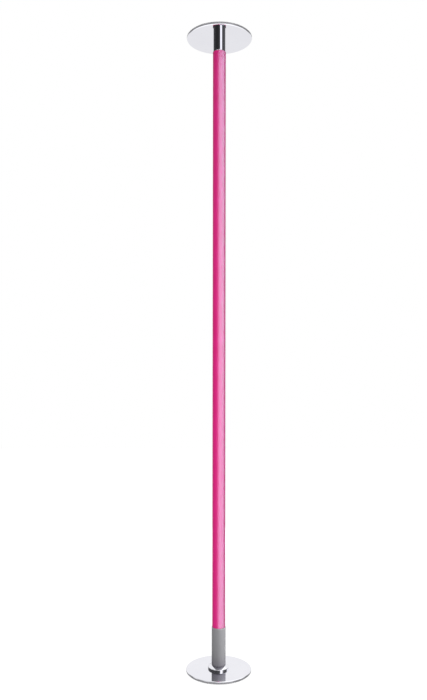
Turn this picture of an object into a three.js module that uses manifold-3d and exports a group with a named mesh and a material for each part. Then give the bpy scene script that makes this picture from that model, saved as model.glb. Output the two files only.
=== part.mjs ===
// A floor-to-ceiling dance pole. Four steel tubes are joined end to end by expanding joiners, and a jacking screw in
// the base presses the pole against the ceiling. +Z is up, the floor is z = 0 and the pole stands on the origin.
// The photographed front faces -Y, and the hex key reaches the joiners from the back, +Y.

import * as THREE from "three";
import { mergeVertices } from "three/addons/utils/BufferGeometryUtils.js";
import Module from "manifold-3d";

const wasm = await Module();
wasm.setup();

// Driving dimensions in millimetres
const GAP = 0.3; // between pieces that fit in, or pass through, each other
const OVERRUN = 2; // how far a cut runs past the face that it opens

// Pole tubes
const TUBE_DIAMETER = 50;
const TUBE_WALL = 2;
const TUBE_CHAMFER = 0.4;
const LOWER_TUBE_LENGTH = 1250;
const LONG_EXTENSION_LENGTH = 250;
const SHORT_EXTENSION_LENGTH = 125;
const UPPER_TUBE_LENGTH = 702;

// Floor and ceiling plates, each with a rubber pad on its outer face
const PLATE_DIAMETER = 250;
const PLATE_THICKNESS = 8;
const PLATE_EDGE_RADIUS = 3;
const PLATE_EDGE_CHAMFER = 0.8;
const PAD_THICKNESS = 3;
const PAD_INSET = 3.5;
const PAD_EDGE_CHAMFER = 0.8;

// Hub on the floor plate, which holds the screw's foot between two washers
const HUB_WALL = 17.7;
const HUB_ROOF = 4.2;
const HUB_SLOPE_HEIGHT = 6;
const HUB_SEAT_MARGIN = 0.5;
const HUB_EDGE_RADIUS = 0.8;
const THRUST_WASHER_THICKNESS = 2;
const COLLAR_WASHER_THICKNESS = 1.5;
const HUB_SCREW_COUNT = 4;
const HUB_SCREW_RADIUS = 3;
const HUB_SCREW_HEAD_RADIUS = 5.6;
const HUB_SCREW_GRIP = 7; // how far it reaches into the hub
const HUB_SCREW_KEY = 4; // across the flats of its socket
const HUB_SCREW_SOCKET_DEPTH = 2.5;

// Jacking screw
const FOOT_INSET = 3; // from the tube's outer surface
const FOOT_THICKNESS = 5;
const SHANK_STEP = 2; // how much thicker the plain shank is than the thread's core
const HEX_STANDOFF = 0.5;
const HEX_HEIGHT = 12;
const HEX_CORNER_INSET = 1.33; // from the tube's outer surface, which makes it 41 mm across the flats
const THREAD_PITCH = 10;
const THREAD_DEPTH = 5;
const THREAD_CREST = 3.66;
const THREAD_FLANK_DEGREES = 15;
const THREAD_GAP = 0.35;
const THREAD_TIP = 3; // how far the screw's end stays past the nut at full height
const ADJUST_DOWN = 5; // travel from the modelled height
const ADJUST_UP = 95;

// Nut fixed in the foot of the lower tube by flush pins
const NUT_WALL = 4.35;
const NUT_BODY_LENGTH = 40;
const NUT_FLANGE_HEIGHT = 10;
const NUT_FLAT_INSET = 2; // from the flange's round to each spanner flat
const NUT_PIN_COUNT = 3;
const NUT_PIN_RADIUS = 2.5;
const NUT_PIN_HEIGHT = 20; // above the flange
const NUT_PIN_FLOOR = 1; // metal left between a pin's hole and the thread
const PIN_FLUSH = 0.3; // below the tube's surface

// Soft sleeve over the adjuster
const SLEEVE_LENGTH = 146;
const SLEEVE_WALL = 1.5;
const SLEEVE_EDGE_RADIUS = 0.5;

// Expanding joiners: two half shells that jack screws press apart inside two neighbouring tubes
const JOINER_SPACING = 7; // between the two joiners that meet in the short extension
const JOINER_WALL = 5;
const JOINER_SPLIT = 2;
const JACK_OFFSET = 30; // from the joint between the tubes
const JACK_RADIUS = 4;
const JACK_SEAT_DEPTH = 6;
const JACK_END_INSET = 1.7; // from the shell's outer surface
const JACK_TIP = 1;
const JACK_BOSS_WIDTH = 16;
const JACK_KEY = 4;
const JACK_SOCKET_DEPTH = 5;
const KEY_CLEARANCE = 0.44;

// Stop in the upper tube, which carries the ceiling neck on a rubber buffer
const STOP_THICKNESS = 20;
const STOP_SCREW_RADIUS = 3;
const STOP_SCREW_LENGTH = 9;
const STOP_SCREW_KEY = 3;
const STOP_SCREW_SOCKET_DEPTH = 3;
const BUFFER_THICKNESS = 5;
const BUFFER_SIDE_GAP = 1;

// Ceiling neck, with a guide bush on its turned-down end and a plug that the ceiling plate is bolted to
const NECK_EXPOSED = 48;
const NECK_INSERT = 60;
const NECK_SIDE_GAP = 0.5;
const NECK_SPIGOT_WALL = 1.5;
const NECK_CHAMFER = 0.5;
const BUSH_LENGTH = 16;
const BUSH_WALL = 1.9;
const NECK_PLUG_HEIGHT = 25;
const PLATE_BOLT_RADIUS = 5;
const PLATE_BOLT_HEAD_RADIUS = 9.5;
const PLATE_BOLT_GRIP = 18;
const PLATE_BOLT_KEY = 6;
const PLATE_BOLT_SOCKET_DEPTH = 4;

// Proportions of a countersunk head, and how far it lies below its face
const HEAD_RIM = 0.5;
const HEAD_SUNK = 0.2;

// Facets on a full round
const ROUND_FACETS = 48;
const FITTING_FACETS = 32;
const THREAD_FACETS = 18;
const SMALL_FACETS = 12;
const EDGE_FACETS = 3;

// Radii that follow from the tube
const tubeRadius = TUBE_DIAMETER / 2;
const boreRadius = tubeRadius - TUBE_WALL;
const insertRadius = boreRadius - GAP;
const nutThreadRadius = insertRadius - NUT_WALL;
const screwRadius = nutThreadRadius - THREAD_GAP;
const screwCoreRadius = screwRadius - THREAD_DEPTH;
const shankRadius = screwCoreRadius + SHANK_STEP;
const shankBore = shankRadius + GAP;
const footRadius = tubeRadius - FOOT_INSET;
const recessRadius = footRadius + GAP;
const hubRadius = recessRadius + HUB_WALL;
const sleeveBore = tubeRadius + GAP;
const sleeveRadius = sleeveBore + SLEEVE_WALL;
const neckRadius = boreRadius - NECK_SIDE_GAP;
const bushBore = insertRadius - BUSH_WALL;
const spigotRadius = bushBore - GAP;
const neckBore = spigotRadius - NECK_SPIGOT_WALL;

// Heights of the stack, from the floor up
const plateTop = PAD_THICKNESS + PLATE_THICKNESS;
const footBase = plateTop + THRUST_WASHER_THICKNESS;
const footTop = footBase + FOOT_THICKNESS;
const recessTop = footTop + COLLAR_WASHER_THICKNESS + GAP;
const hubTop = recessTop + HUB_ROOF;
const hexBase = hubTop + HEX_STANDOFF;
const hexTop = hexBase + HEX_HEIGHT;
const nutBase = hexTop + ADJUST_DOWN + GAP;
const tubeBase = nutBase + NUT_FLANGE_HEIGHT;
const nutTop = tubeBase + NUT_BODY_LENGTH;
const screwTop = nutTop + ADJUST_UP + THREAD_TIP;

// The tubes in order, each standing on the one before
const TUBES = [
  { name: "lower_tube", length: LOWER_TUBE_LENGTH },
  { name: "long_extension_tube", length: LONG_EXTENSION_LENGTH },
  { name: "short_extension_tube", length: SHORT_EXTENSION_LENGTH },
  { name: "upper_tube", length: UPPER_TUBE_LENGTH },
];
let reached = tubeBase;
for (const tube of TUBES) {
  tube.base = reached;
  reached += tube.length;
}
const poleTop = reached;
const neckBase = poleTop - NECK_INSERT;
const stopBase = neckBase - BUFFER_THICKNESS - STOP_THICKNESS;
const ceilingPlateBase = poleTop + NECK_EXPOSED;
const ceilingPlateTop = ceilingPlateBase + PLATE_THICKNESS;

const MATERIALS = {
  pinkCoat: new THREE.MeshStandardMaterial({ color: 0xd8407f, roughness: 0.28, metalness: 0.1 }),
  chrome: new THREE.MeshStandardMaterial({ color: 0xdcdce2, roughness: 0.05, metalness: 1 }),
  steel: new THREE.MeshStandardMaterial({ color: 0xa7a9ac, roughness: 0.35, metalness: 0.9 }),
  darkSteel: new THREE.MeshStandardMaterial({ color: 0x38383b, roughness: 0.5, metalness: 0.7 }),
  castAluminium: new THREE.MeshStandardMaterial({ color: 0xb4b6b8, roughness: 0.5, metalness: 0.8 }),
  greySilicone: new THREE.MeshStandardMaterial({ color: 0x88888b, roughness: 0.6, metalness: 0 }),
  blackRubber: new THREE.MeshStandardMaterial({ color: 0x1c1c1e, roughness: 0.85, metalness: 0 }),
  nylon: new THREE.MeshStandardMaterial({ color: 0xe6e4dc, roughness: 0.5, metalness: 0 }),
};

const MERGE_DISTANCE = 1e-4;

// A closed geometry as a solid that can be joined and cut.
function toSolid(geometry) {
  const bare = new THREE.BufferGeometry();
  bare.setAttribute("position", geometry.getAttribute("position"));
  bare.setIndex(geometry.getIndex());
  const merged = mergeVertices(bare, MERGE_DISTANCE);
  const corners = merged.getIndex().array;
  const kept = [];
  for (let i = 0; i < corners.length; i += 3) {
    const [a, b, c] = corners.slice(i, i + 3);
    if (a !== b && b !== c && c !== a) kept.push(a, b, c);
  }
  return new wasm.Manifold(
    new wasm.Mesh({
      numProp: 3,
      vertProperties: new Float32Array(merged.getAttribute("position").array),
      triVerts: new Uint32Array(kept),
    }),
  );
}

function cut(solid, tools) {
  return tools.reduce((rest, tool) => rest.subtract(tool), solid);
}

function join(solid, others) {
  return others.reduce((whole, other) => whole.add(other), solid);
}

function piece(name, solid, material, z = 0) {
  const { vertProperties, triVerts } = solid.getMesh();
  const geometry = new THREE.BufferGeometry();
  geometry.setAttribute("position", new THREE.BufferAttribute(vertProperties, 3));
  geometry.setIndex(new THREE.BufferAttribute(triVerts, 1));
  geometry.computeVertexNormals();
  const mesh = new THREE.Mesh(geometry, material);
  mesh.name = name;
  mesh.position.z = z;
  return mesh;
}

// A profile of [radius, height] points turned about Z. It runs up the outside, and either starts and ends on the
// axis or is closed here into a ring.
function turned(profile, facets) {
  const points = profile.map(([radius, height]) => new THREE.Vector2(radius, height));
  if (points[0].x > 0) points.push(points[0].clone());
  return new THREE.LatheGeometry(points, facets).rotateX(Math.PI / 2);
}

// Points of a quarter round about a centre, from the angle named turn on, anticlockwise.
function roundedCorner(centreRadius, centreHeight, radius, turn) {
  return Array.from({ length: EDGE_FACETS + 1 }, (_, i) => {
    const angle = turn + (i / EDGE_FACETS) * (Math.PI / 2);
    return [centreRadius + radius * Math.cos(angle), centreHeight + radius * Math.sin(angle)];
  });
}

function disc(radius, thickness, facets) {
  return turned([[0, 0], [radius, 0], [radius, thickness], [0, thickness]], facets);
}

function ring(bore, radius, height, facets) {
  return turned([[bore, 0], [radius, 0], [radius, height], [bore, height]], facets);
}

// A hexagonal bar of the given size across the flats, along Z from the origin.
function hexBar(acrossFlats, length) {
  return disc(acrossFlats / Math.sqrt(3), length, 6);
}

// A rod that points away from the pole's axis, towards the back turned by angle.
function radialRod(radius, from, to, height, angle, facets = SMALL_FACETS) {
  return disc(radius, to - from, facets)
    .rotateX(-Math.PI / 2)
    .translate(0, from, height)
    .rotateZ(angle);
}

function turnSteps(count) {
  return Array.from({ length: count }, (_, i) => (i / count) * 2 * Math.PI);
}

// A countersunk screw along Z with its head's flat face at the origin.
function countersunkScrew({ radius, headRadius, length, key, socketDepth }) {
  const coneEnd = HEAD_RIM + headRadius - radius;
  const body = turned(
    [[0, 0], [headRadius, 0], [headRadius, HEAD_RIM], [radius, coneEnd], [radius, length], [0, length]],
    SMALL_FACETS,
  );
  const socket = hexBar(key, socketDepth + OVERRUN).translate(0, 0, -OVERRUN);
  return cut(toSolid(body), [toSolid(socket)]);
}

// The hole that the same screw needs, open below its head.
function countersunkHole({ radius, headRadius, length }) {
  const coneEnd = HEAD_RIM + headRadius - radius;
  const [wide, narrow] = [headRadius + GAP, radius + GAP];
  return turned(
    [[0, -OVERRUN], [wide, -OVERRUN], [wide, HEAD_RIM], [narrow, coneEnd], [narrow, length + GAP], [0, length + GAP]],
    SMALL_FACETS,
  );
}

// A round plate whose upper edge is rounded and whose lower edge, next to the pad, is broken.
function plate() {
  const radius = PLATE_DIAMETER / 2;
  const round = PLATE_EDGE_RADIUS;
  return turned(
    [
      [0, 0],
      [radius - PLATE_EDGE_CHAMFER, 0],
      [radius, PLATE_EDGE_CHAMFER],
      ...roundedCorner(radius - round, PLATE_THICKNESS - round, round, 0),
      [0, PLATE_THICKNESS],
    ],
    ROUND_FACETS,
  );
}

function pad() {
  const radius = PLATE_DIAMETER / 2 - PAD_INSET;
  return turned(
    [
      [0, 0],
      [radius - PAD_EDGE_CHAMFER, 0],
      [radius, PAD_EDGE_CHAMFER],
      [radius, PAD_THICKNESS],
      [0, PAD_THICKNESS],
    ],
    ROUND_FACETS,
  );
}

// Hub: a ring with a sloping top and a flat seat for the sleeve, recessed from beneath for the screw's foot.
function hub() {
  const height = hubTop - plateTop;
  const rim = height - HUB_SLOPE_HEIGHT;
  const seatRadius = sleeveRadius + HUB_SEAT_MARGIN;
  const recessDepth = recessTop - plateTop;
  return turned(
    [
      [recessRadius, 0],
      [hubRadius, 0],
      [hubRadius, rim - HUB_EDGE_RADIUS],
      [hubRadius - HUB_EDGE_RADIUS, rim],
      [seatRadius, height],
      [shankBore, height],
      [shankBore, recessDepth],
      [recessRadius, recessDepth],
    ],
    ROUND_FACETS,
  );
}

function makeBase() {
  const group = new THREE.Group();
  const screw = {
    radius: HUB_SCREW_RADIUS,
    headRadius: HUB_SCREW_HEAD_RADIUS,
    length: PLATE_THICKNESS - HEAD_SUNK + HUB_SCREW_GRIP,
    key: HUB_SCREW_KEY,
    socketDepth: HUB_SCREW_SOCKET_DEPTH,
  };
  const circleRadius = (recessRadius + hubRadius) / 2;
  const headHeight = PAD_THICKNESS + HEAD_SUNK;
  const halfStep = Math.PI / HUB_SCREW_COUNT;
  const places = turnSteps(HUB_SCREW_COUNT).map((angle) =>
    new THREE.Vector3(circleRadius, 0, headHeight).applyAxisAngle(new THREE.Vector3(0, 0, 1), angle + halfStep),
  );
  const holesFor = (baseHeight) =>
    places.map(({ x, y, z }) => toSolid(countersunkHole(screw).translate(x, y, z - baseHeight)));

  group.add(piece("floor_pad", toSolid(pad()), MATERIALS.blackRubber));
  group.add(piece("base_plate", cut(toSolid(plate()), holesFor(PAD_THICKNESS)), MATERIALS.chrome, PAD_THICKNESS));
  group.add(piece("hub_ring", cut(toSolid(hub()), holesFor(plateTop)), MATERIALS.chrome, plateTop));
  places.forEach((place, i) => {
    const mesh = piece(`hub_screw_${i + 1}`, countersunkScrew(screw), MATERIALS.darkSteel);
    mesh.position.copy(place);
    group.add(mesh);
  });

  const thrustWasher = ring(shankRadius, footRadius, THRUST_WASHER_THICKNESS, FITTING_FACETS);
  const collarWasher = ring(shankBore, footRadius, COLLAR_WASHER_THICKNESS, FITTING_FACETS);
  group.add(piece("thrust_washer", toSolid(thrustWasher), MATERIALS.nylon, plateTop));
  group.add(piece("collar_washer", toSolid(collarWasher), MATERIALS.nylon, footTop));
  return group;
}

// A rod from one height to another with a right-hand trapezoidal thread. phase is a height at which the ridge's
// middle crosses the plane y = 0. spare widens the rod all over, for the bore of a nut.
function threadedRod({ from, to, phase, spare }) {
  const flank = Math.tan(THREE.MathUtils.degToRad(THREAD_FLANK_DEGREES));
  const coreRadius = screwCoreRadius + spare;
  const crestRadius = screwRadius + spare;
  const halfWidth = (radius) => THREAD_CREST / 2 + (screwRadius - radius) * flank + spare;
  const section = [
    [coreRadius, -halfWidth(coreRadius)],
    [crestRadius, -halfWidth(crestRadius)],
    [crestRadius, halfWidth(crestRadius)],
    [coreRadius, halfWidth(coreRadius)],
  ];
  const firstTurn = phase + (Math.floor((from - phase) / THREAD_PITCH) - 1) * THREAD_PITCH;
  const turns = Math.ceil((to - firstTurn) / THREAD_PITCH) + 1;
  const steps = turns * THREAD_FACETS;
  const size = section.length;
  const positions = [];
  for (let step = 0; step <= steps; step += 1) {
    const angle = (step / THREAD_FACETS) * 2 * Math.PI;
    const middle = firstTurn + (step / THREAD_FACETS) * THREAD_PITCH;
    for (const [radius, height] of section) {
      positions.push(radius * Math.cos(angle), radius * Math.sin(angle), middle + height);
    }
  }
  // Each ridge's top edge is joined to the lower edge of the ridge one turn above, so the strip has no seam.
  const corners = [];
  const point = (step, place) => (place < size ? step * size + place : (step + THREAD_FACETS) * size);
  for (let step = 0; step < steps; step += 1) {
    const strips = step < steps - THREAD_FACETS ? size : size - 1;
    for (let place = 0; place < strips; place += 1) {
      const [a, b] = [point(step, place), point(step + 1, place)];
      const [c, d] = [point(step + 1, place + 1), point(step, place + 1)];
      corners.push(a, b, c, a, c, d);
    }
  }
  // The first and last turns are closed by fans, which the trim below takes off.
  const bottom = positions.length / 3;
  positions.push(0, 0, firstTurn - THREAD_PITCH, 0, 0, firstTurn + (turns + 1) * THREAD_PITCH);
  const top = bottom + 1;
  for (let step = 0; step < THREAD_FACETS; step += 1) {
    corners.push(bottom, point(step + 1, 0), point(step, 0));
    const upper = steps - THREAD_FACETS + step;
    corners.push(top, point(upper, size - 1), point(upper + 1, size - 1));
  }
  for (let place = 0; place < size; place += 1) {
    corners.push(bottom, point(0, place), point(0, place + 1));
    if (place < size - 1) corners.push(top, point(steps, place + 1), point(steps, place));
  }
  corners.push(top, point(steps, 0), point(steps - THREAD_FACETS, size - 1));
  const geometry = new THREE.BufferGeometry();
  geometry.setAttribute("position", new THREE.Float32BufferAttribute(positions, 3));
  geometry.setIndex(corners);
  const trim = disc(crestRadius + OVERRUN, to - from, SMALL_FACETS).translate(0, 0, from);
  return toSolid(geometry).intersect(toSolid(trim));
}

function makeAdjuster() {
  const group = new THREE.Group();
  const foot = disc(footRadius, FOOT_THICKNESS, FITTING_FACETS).translate(0, 0, footBase);
  const shank = disc(shankRadius, hexTop - footBase, FITTING_FACETS).translate(0, 0, footBase);
  const hex = hexBar((tubeRadius - HEX_CORNER_INSET) * Math.sqrt(3), HEX_HEIGHT).translate(0, 0, hexBase);
  const thread = threadedRod({ from: hexTop - HEX_HEIGHT / 2, to: screwTop, phase: hexTop, spare: 0 });
  const screw = join(thread, [foot, shank, hex].map(toSolid));
  group.add(piece("adjuster_screw", screw, MATERIALS.steel));

  const edge = SLEEVE_EDGE_RADIUS;
  const sleeve = turned(
    [
      [sleeveBore, 0],
      [sleeveRadius - edge, 0],
      [sleeveRadius, edge],
      [sleeveRadius, SLEEVE_LENGTH - edge],
      [sleeveRadius - edge, SLEEVE_LENGTH],
      [sleeveBore, SLEEVE_LENGTH],
    ],
    ROUND_FACETS,
  );
  group.add(piece("adjuster_sleeve", toSolid(sleeve), MATERIALS.greySilicone, hubTop));
  return group;
}

// Nut: a threaded bush with a flange as wide as the tube, which has two spanner flats.
function nut() {
  const flats = [0, Math.PI].map((angle) =>
    new THREE.BoxGeometry(TUBE_DIAMETER, TUBE_DIAMETER, NUT_FLANGE_HEIGHT)
      .translate(0, TUBE_DIAMETER - NUT_FLAT_INSET, NUT_FLANGE_HEIGHT / 2 - OVERRUN)
      .rotateZ(angle),
  );
  const body = turned(
    [
      [0, 0],
      [tubeRadius - TUBE_CHAMFER, 0],
      [tubeRadius, TUBE_CHAMFER],
      [tubeRadius, NUT_FLANGE_HEIGHT],
      [insertRadius, NUT_FLANGE_HEIGHT],
      [insertRadius, NUT_FLANGE_HEIGHT + NUT_BODY_LENGTH],
      [0, NUT_FLANGE_HEIGHT + NUT_BODY_LENGTH],
    ],
    FITTING_FACETS,
  );
  const bore = threadedRod({
    from: -OVERRUN,
    to: nutTop - nutBase + OVERRUN,
    phase: hexTop - nutBase,
    spare: THREAD_GAP,
  });
  return cut(toSolid(body), [bore, ...flats.map(toSolid)]);
}

const pinInnerRadius = nutThreadRadius + NUT_PIN_FLOOR + GAP;
const pinHeight = tubeBase + NUT_PIN_HEIGHT;
const accessRadius = JACK_KEY / Math.sqrt(3) + KEY_CLEARANCE;
const stopScrewHeight = stopBase + STOP_THICKNESS / 2;

// Cutting rods for the holes in the tubes: where the pins, the hex key and the stop's screw go through the wall.
function tubeHoles(index) {
  const { base, length } = TUBES[index];
  const [from, to] = [boreRadius - OVERRUN, tubeRadius + OVERRUN];
  const holes = [];
  if (index === 0) {
    for (const angle of turnSteps(NUT_PIN_COUNT)) {
      holes.push(radialRod(NUT_PIN_RADIUS + GAP, from, to, pinHeight - base, angle));
    }
  } else {
    holes.push(radialRod(accessRadius, from, to, JACK_OFFSET, 0));
  }
  if (index === TUBES.length - 1) {
    holes.push(radialRod(STOP_SCREW_RADIUS + GAP, from, to, stopScrewHeight - base, 0));
  } else {
    holes.push(radialRod(accessRadius, from, to, length - JACK_OFFSET, 0));
  }
  return holes.map(toSolid);
}

function tube(index) {
  const { name, base, length } = TUBES[index];
  const chamfer = TUBE_CHAMFER;
  const wall = turned(
    [
      [boreRadius, 0],
      [tubeRadius - chamfer, 0],
      [tubeRadius, chamfer],
      [tubeRadius, length - chamfer],
      [tubeRadius - chamfer, length],
      [boreRadius, length],
    ],
    ROUND_FACETS,
  );
  return piece(name, cut(toSolid(wall), tubeHoles(index)), MATERIALS.pinkCoat, base);
}

const joinerLength = SHORT_EXTENSION_LENGTH - JOINER_SPACING;

// Half of a joiner, on the back side of the split, with a boss behind each jack screw.
function halfShell() {
  const innerRadius = insertRadius - JOINER_WALL;
  const edge = JOINER_SPLIT / 2;
  const outerAngle = Math.asin(edge / insertRadius);
  const innerAngle = Math.asin(edge / innerRadius);
  const outline = new THREE.Shape();
  outline.absarc(0, 0, insertRadius, outerAngle, Math.PI - outerAngle, false);
  outline.absarc(0, 0, innerRadius, Math.PI - innerAngle, innerAngle, true);
  outline.closePath();
  const shell = new THREE.ExtrudeGeometry(outline, {
    depth: joinerLength,
    bevelEnabled: false,
    curveSegments: FITTING_FACETS / 2,
  }).translate(0, 0, -joinerLength / 2);
  const bossDepth = innerRadius - edge;
  const bosses = [-1, 1].map((side) =>
    new THREE.BoxGeometry(JACK_BOSS_WIDTH, bossDepth, JACK_BOSS_WIDTH).translate(
      0,
      edge + bossDepth / 2,
      side * JACK_OFFSET,
    ),
  );
  return join(toSolid(shell), bosses.map(toSolid));
}

const jackBase = -JOINER_SPLIT / 2 - JACK_SEAT_DEPTH;
const jackLength = insertRadius - JACK_END_INSET - jackBase;

function jackScrew() {
  const body = turned(
    [
      [0, 0],
      [JACK_RADIUS - JACK_TIP, 0],
      [JACK_RADIUS, JACK_TIP],
      [JACK_RADIUS, jackLength],
      [0, jackLength],
    ],
    SMALL_FACETS,
  );
  const socket = hexBar(JACK_KEY, JACK_SOCKET_DEPTH + OVERRUN).translate(0, 0, jackLength - JACK_SOCKET_DEPTH);
  return cut(toSolid(body), [toSolid(socket)]);
}

// A joiner centred on the joint between two tubes: the front shell, the back shell and two jack screws.
function makeJoiner(number, height) {
  const group = new THREE.Group();
  group.position.z = height;
  const name = `joiner_${number}`;
  const backHoles = [-1, 1].map((side) =>
    toSolid(radialRod(JACK_RADIUS + GAP, 0, insertRadius + OVERRUN, side * JACK_OFFSET, 0)),
  );
  const seats = [-1, 1].map((side) =>
    toSolid(radialRod(JACK_RADIUS + GAP, 0, -jackBase + GAP, side * JACK_OFFSET, 0)),
  );
  group.add(piece(`${name}_back_shell`, cut(halfShell(), backHoles), MATERIALS.castAluminium));
  const front = piece(`${name}_front_shell`, cut(halfShell(), seats), MATERIALS.castAluminium);
  front.rotation.z = Math.PI;
  group.add(front);
  for (const [side, label] of [[-1, "lower"], [1, "upper"]]) {
    const screw = piece(`${name}_${label}_jack_screw`, jackScrew(), MATERIALS.darkSteel, side * JACK_OFFSET);
    screw.position.y = jackBase;
    screw.rotation.x = -Math.PI / 2;
    group.add(screw);
  }
  return group;
}

function makePole() {
  const group = new THREE.Group();
  TUBES.forEach((_, index) => group.add(tube(index)));

  const pinHoles = turnSteps(NUT_PIN_COUNT).map((angle) =>
    toSolid(radialRod(NUT_PIN_RADIUS + GAP, pinInnerRadius - GAP, tubeRadius, pinHeight - nutBase, angle)),
  );
  group.add(piece("tube_end_nut", cut(nut(), pinHoles), MATERIALS.steel, nutBase));
  turnSteps(NUT_PIN_COUNT).forEach((angle, i) => {
    const pin = toSolid(radialRod(NUT_PIN_RADIUS, pinInnerRadius, tubeRadius - PIN_FLUSH, 0, 0));
    const mesh = piece(`nut_pin_${i + 1}`, pin, MATERIALS.steel, pinHeight);
    mesh.rotation.z = angle;
    group.add(mesh);
  });

  TUBES.slice(1).forEach(({ base }, i) => group.add(makeJoiner(i + 1, base)));

  const screwEnd = tubeRadius - PIN_FLUSH;
  const screwStart = screwEnd - STOP_SCREW_LENGTH;
  const stopHole = radialRod(
    STOP_SCREW_RADIUS + GAP,
    screwStart - GAP,
    tubeRadius,
    STOP_THICKNESS / 2,
    0,
  );
  const stop = cut(toSolid(disc(insertRadius, STOP_THICKNESS, FITTING_FACETS)), [toSolid(stopHole)]);
  group.add(piece("stop_plug", stop, MATERIALS.castAluminium, stopBase));
  const socket = hexBar(STOP_SCREW_KEY, STOP_SCREW_SOCKET_DEPTH + OVERRUN)
    .rotateX(-Math.PI / 2)
    .translate(0, screwEnd - STOP_SCREW_SOCKET_DEPTH, 0);
  const stopScrew = cut(toSolid(radialRod(STOP_SCREW_RADIUS, screwStart, screwEnd, 0, 0)), [toSolid(socket)]);
  group.add(piece("stop_plug_screw", stopScrew, MATERIALS.darkSteel, stopScrewHeight));
  const buffer = disc(boreRadius - BUFFER_SIDE_GAP, BUFFER_THICKNESS, FITTING_FACETS);
  group.add(piece("neck_buffer", toSolid(buffer), MATERIALS.blackRubber, stopBase + STOP_THICKNESS));
  return group;
}

function makeCeilingMount() {
  const group = new THREE.Group();
  const bush = ring(bushBore, insertRadius, BUSH_LENGTH, FITTING_FACETS);
  group.add(piece("neck_guide_bush", toSolid(bush), MATERIALS.nylon, neckBase));

  const neckLength = ceilingPlateBase - neckBase;
  const neck = turned(
    [
      [neckBore, 0],
      [spigotRadius, 0],
      [spigotRadius, BUSH_LENGTH],
      [neckRadius - NECK_CHAMFER, BUSH_LENGTH],
      [neckRadius, BUSH_LENGTH + NECK_CHAMFER],
      [neckRadius, neckLength],
      [neckBore, neckLength],
    ],
    ROUND_FACETS,
  );
  group.add(piece("ceiling_neck", toSolid(neck), MATERIALS.chrome, neckBase));

  const bolt = {
    radius: PLATE_BOLT_RADIUS,
    headRadius: PLATE_BOLT_HEAD_RADIUS,
    length: PLATE_THICKNESS - HEAD_SUNK + PLATE_BOLT_GRIP,
    key: PLATE_BOLT_KEY,
    socketDepth: PLATE_BOLT_SOCKET_DEPTH,
  };
  const headHeight = ceilingPlateTop - HEAD_SUNK;
  const plugBase = ceilingPlateBase - NECK_PLUG_HEIGHT;
  const holeFor = (baseHeight) =>
    toSolid(countersunkHole(bolt).rotateX(Math.PI).translate(0, 0, headHeight - baseHeight));
  const plug = disc(neckBore - GAP, NECK_PLUG_HEIGHT, FITTING_FACETS);
  group.add(piece("neck_plug", cut(toSolid(plug), [holeFor(plugBase)]), MATERIALS.steel, plugBase));
  const plateBolt = piece("plate_bolt", countersunkScrew(bolt), MATERIALS.darkSteel, headHeight);
  plateBolt.rotation.x = Math.PI;
  group.add(plateBolt);

  const upturnedPlate = plate().rotateX(Math.PI).translate(0, 0, PLATE_THICKNESS);
  const ceilingPlate = cut(toSolid(upturnedPlate), [holeFor(ceilingPlateBase)]);
  group.add(piece("ceiling_plate", ceilingPlate, MATERIALS.chrome, ceilingPlateBase));
  const upturnedPad = pad().rotateX(Math.PI).translate(0, 0, PAD_THICKNESS);
  group.add(piece("ceiling_pad", toSolid(upturnedPad), MATERIALS.blackRubber, ceilingPlateTop));
  return group;
}

const dancePole = new THREE.Group();
dancePole.add(makeBase(), makeAdjuster(), makePole(), makeCeilingMount());

export default dancePole;
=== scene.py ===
# A floor-to-ceiling dance pole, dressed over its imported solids. Everything is in metres and in the solids'
# frame: +Z is up, the floor is z = 0, the pole stands on the origin and the camera looks along +Y.

import math

import bpy
from mathutils import Matrix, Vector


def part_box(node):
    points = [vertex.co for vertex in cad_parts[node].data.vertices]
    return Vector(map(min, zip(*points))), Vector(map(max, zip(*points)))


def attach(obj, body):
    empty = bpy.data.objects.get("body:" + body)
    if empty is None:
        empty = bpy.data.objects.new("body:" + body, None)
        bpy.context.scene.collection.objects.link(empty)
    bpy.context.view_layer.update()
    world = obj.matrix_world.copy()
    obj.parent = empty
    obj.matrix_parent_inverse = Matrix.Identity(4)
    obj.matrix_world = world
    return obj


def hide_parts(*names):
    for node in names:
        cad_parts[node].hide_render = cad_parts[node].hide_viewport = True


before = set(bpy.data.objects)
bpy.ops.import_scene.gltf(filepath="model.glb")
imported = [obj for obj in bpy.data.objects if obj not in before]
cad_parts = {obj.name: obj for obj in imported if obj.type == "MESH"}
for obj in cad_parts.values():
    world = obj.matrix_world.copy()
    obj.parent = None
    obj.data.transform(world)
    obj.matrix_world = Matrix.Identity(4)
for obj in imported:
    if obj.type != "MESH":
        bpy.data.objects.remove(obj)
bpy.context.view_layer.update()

MM = 0.001
MICRON = 0.000001

# Points nearer than NEAR are one point, and a cutting shape runs OVERRUN past the face that it cuts
NEAR = 0.02 * MM
OVERRUN = 2 * MM

# Facets on a full round, steps on a rounded edge, and how faces are smoothed
ROUND_SIDES = 128
HOLE_SIDES = 32
THREAD_SIDES = 48
HEX_SIDES = 6
EDGE_STEPS = 8
LIP_STEPS = 4
SHOULDER_STEPS = 2
ROUND_PROFILE = 0.5
SMOOTH_ANGLE = math.radians(35)
LARGE_FACE_WEIGHT = 100

# Pole tubes and the holes in them
TUBE_WALL = 2 * MM
TUBE_CHAMFER = 0.4 * MM
TUBE_TOP_ROUND = 1.2 * MM
# The band at the upper tube's top: bare steel whose colour is also a painted highlight
BARE_AND_HIGHLIGHT_RIM = 1.4 * MM
JACK_OFFSET = 30 * MM
KEY_HOLE_RADIUS = 2.75 * MM
PIN_HOLE_RADIUS = 2.8 * MM
STOP_HOLE_RADIUS = 3.3 * MM
HOLE_FLARE = 0.4 * MM
PIN_HOLE_FLARE = 0.1 * MM

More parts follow.
